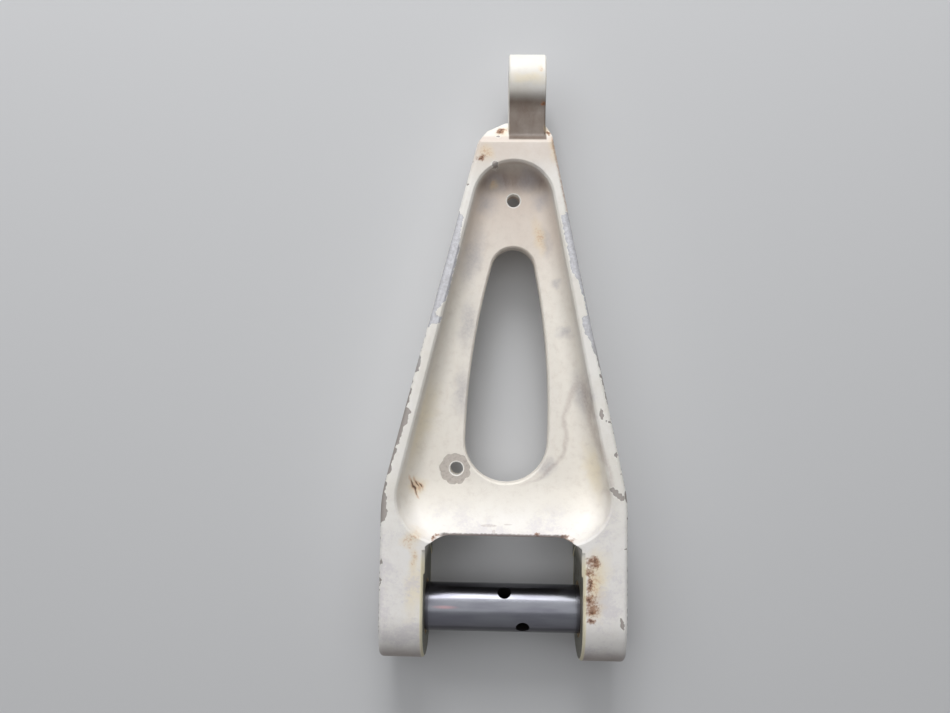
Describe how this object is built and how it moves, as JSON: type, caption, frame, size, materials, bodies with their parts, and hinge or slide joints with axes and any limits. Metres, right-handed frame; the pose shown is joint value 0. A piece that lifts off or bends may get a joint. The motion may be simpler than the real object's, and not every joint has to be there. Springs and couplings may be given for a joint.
{
  "type": "landing gear torque knee",
  "caption": "A-shaped forged torque knee for landing gear: dished H section, teardrop slot, clevis with a hollow pivot pin at the foot and one offset eye at the apex",
  "frame": {"origin": "the middle of the pivot pin's axis, between the two ears", "axes": "+X along the pivot pin, +Y from the pin up the knee to the apex eye, +Z out of the front face; the knee lies on its back"},
  "size_m": [0.0996, 0.249, 0.0394],
  "materials": {
    "painted_forging": "satin",
    "polished_steel": "polished",
    "bush_bronze": "satin"
  },
  "bodies": {
    "knee": {"knee_forging": "painted_forging", "left_ear_bush": "bush_bronze", "right_ear_bush": "bush_bronze", "apex_bush": "bush_bronze"},
    "pin": {"pivot_pin": "polished_steel"}
  },
  "joints": [
    {"name": "pin_turn", "type": "hinge", "parent": "knee", "child": "pin", "pos_m": [0, 0, 0], "axis": [1, 0, 0], "continuous": true}
  ]
}
